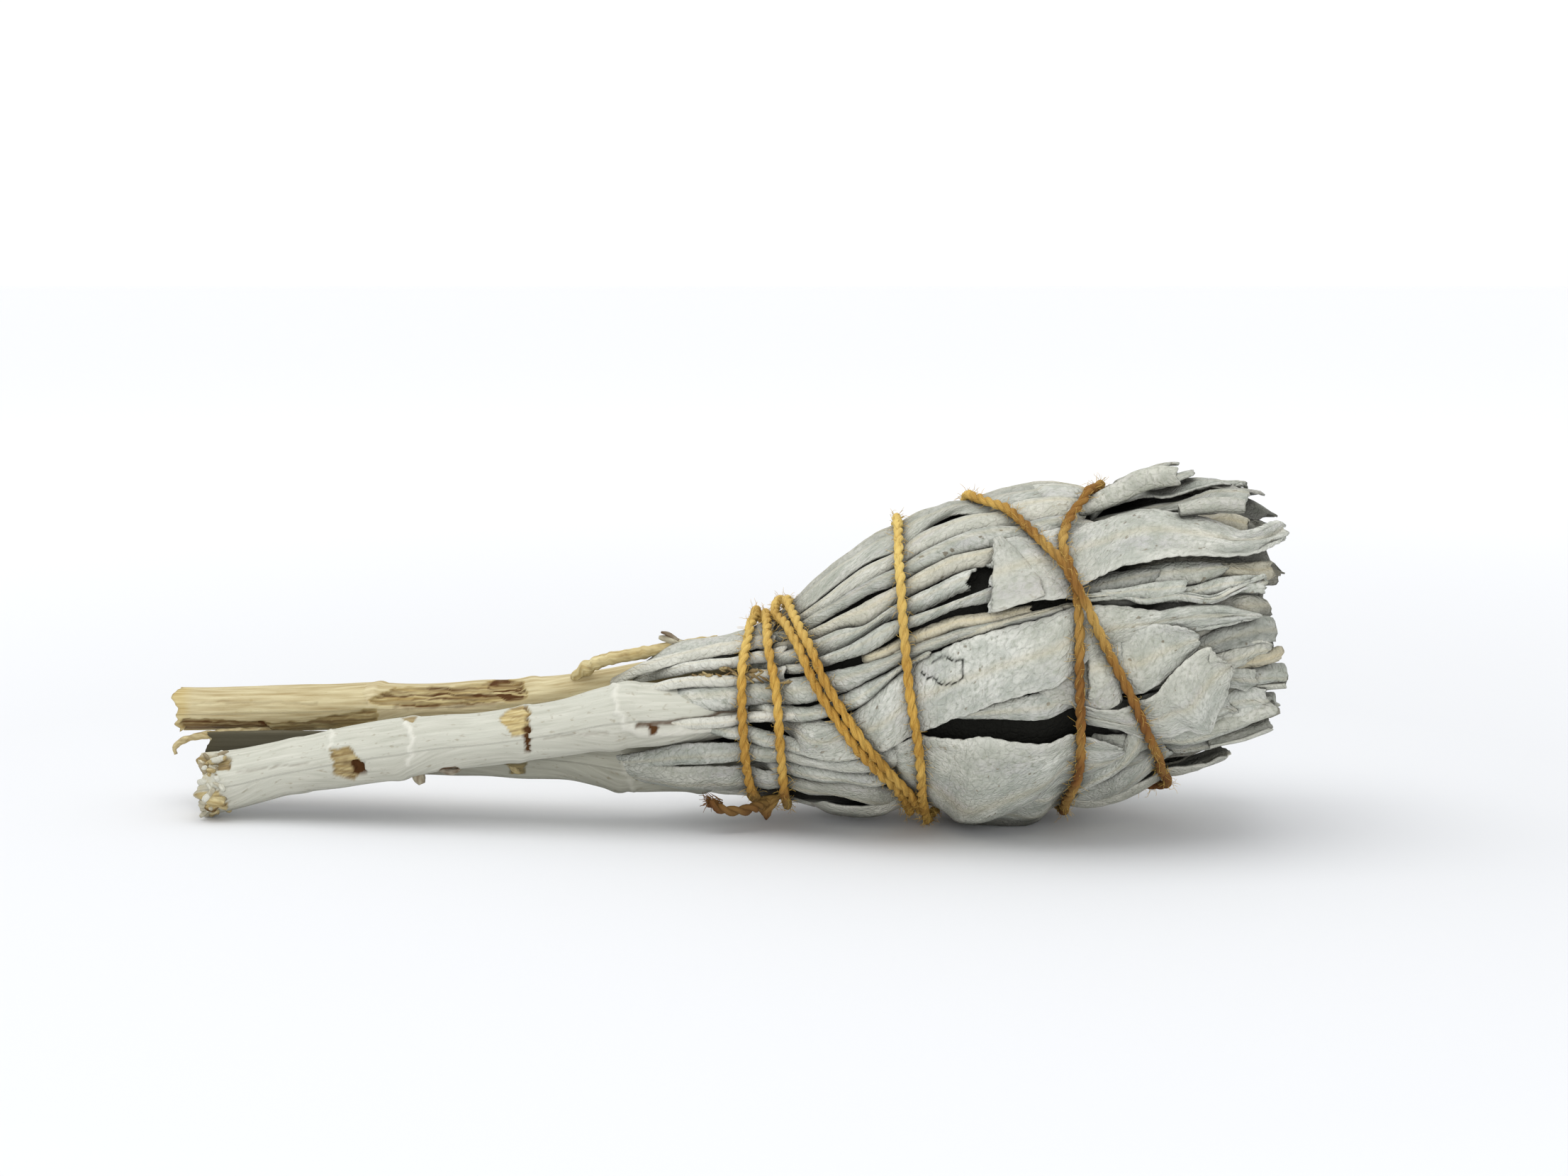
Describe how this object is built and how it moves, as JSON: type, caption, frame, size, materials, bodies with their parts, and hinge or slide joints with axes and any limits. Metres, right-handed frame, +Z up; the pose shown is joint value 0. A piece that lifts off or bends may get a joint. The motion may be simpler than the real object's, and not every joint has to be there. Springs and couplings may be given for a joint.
{
  "type": "sage smudge stick",
  "caption": "White sage smudge stick: dried leafy stems bound with ochre cotton string, lying on its side.",
  "frame": {"origin": "bottom centre of the bounding box, on the surface that the bundle lies on", "axes": "+X along the bundle towards the leaf tips, +Z up, -Y towards the viewer of the picture"},
  "size_m": [0.199, 0.0695, 0.0624],
  "materials": {
    "sage_leaf": "dry felted leaf",
    "cotton_string": "matt twisted cotton"
  },
  "bodies": {
    "root": {"sprig_front": "sage_leaf", "sprig_back": "sage_leaf", "sprig_low": "sage_leaf", "string_tie": "cotton_string"}
  },
  "joints": []
}
